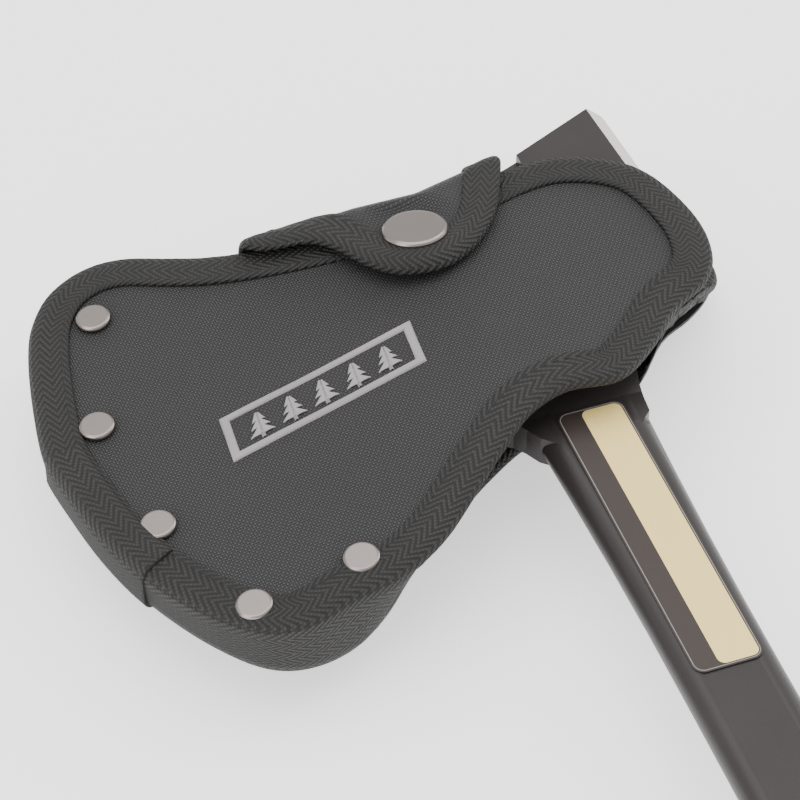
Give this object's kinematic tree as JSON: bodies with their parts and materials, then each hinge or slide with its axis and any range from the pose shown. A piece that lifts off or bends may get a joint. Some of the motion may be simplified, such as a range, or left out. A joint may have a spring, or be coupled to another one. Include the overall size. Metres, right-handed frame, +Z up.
{
  "type": "felling axe in a snap-strap sheath",
  "caption": "One-piece forged felling axe with a flat-sided moulded grip, its head in a bound fabric sheath riveted round the bit and closed by a snap strap.",
  "frame": {"origin": "on the surface it lies on, under the middle of the bounding box", "axes": "+Y along the shank from the butt of the grip to the top of the head, +X from the cutting edge to the poll, +Z up through the head's thickness, out of the sheath's front panel"},
  "size_m": [0.201, 0.66, 0.0489],
  "materials": {
    "painted_steel": "semi-gloss black paint over a forging, bare ground bevels",
    "gold_foil": "printed gold foil under a clear film",
    "grip_vinyl": "matt moulded vinyl",
    "panel_fabric": "dark grey plain-woven ballistic nylon",
    "stiffener_sheet": "black sheet",
    "welt_leather": "plain tan split",
    "binding_tape": "charcoal herringbone tape",
    "satin_nickel": "satin nickel plate",
    "badge_thread": "light grey satin stitch",
    "loop_webbing": "black webbing"
  },
  "bodies": {
    "axe": {"axe_forging": "painted_steel", "shank_label": "gold_foil", "grip": "grip_vinyl"},
    "sheath": {"front_panel": "panel_fabric", "back_panel": "panel_fabric", "front_stiffener": "stiffener_sheet", "back_stiffener": "stiffener_sheet", "edge_welt": "welt_leather", "seam_binding": "binding_tape", "front_binding": "binding_tape", "back_binding": "binding_tape", "binding_lap": "binding_tape", "rivet_caps": "satin_nickel", "rivet_posts": "satin_nickel", "embroidery": "badge_thread", "snap_stud": "satin_nickel", "stud_post": "satin_nickel", "belt_loop": "loop_webbing", "strap_anchor": "panel_fabric", "strap_bridge": "panel_fabric", "bridge_binding": "binding_tape"},
    "snap_tab": {"strap_tab": "panel_fabric", "tab_binding": "binding_tape", "snap_cap": "satin_nickel", "snap_socket": "satin_nickel"}
  },
  "joints": [
    {"name": "sheath_slide", "type": "slide", "parent": "axe", "child": "sheath", "axis": [-1, 0, 0], "range_m": [0, 0.175]},
    {"name": "snap_tab_hinge", "type": "hinge", "parent": "sheath", "child": "snap_tab", "pos_m": [0.00845, 0.30383, 0.0453], "axis": [-1, 0, 0], "range_deg": [0, 110]}
  ]
}
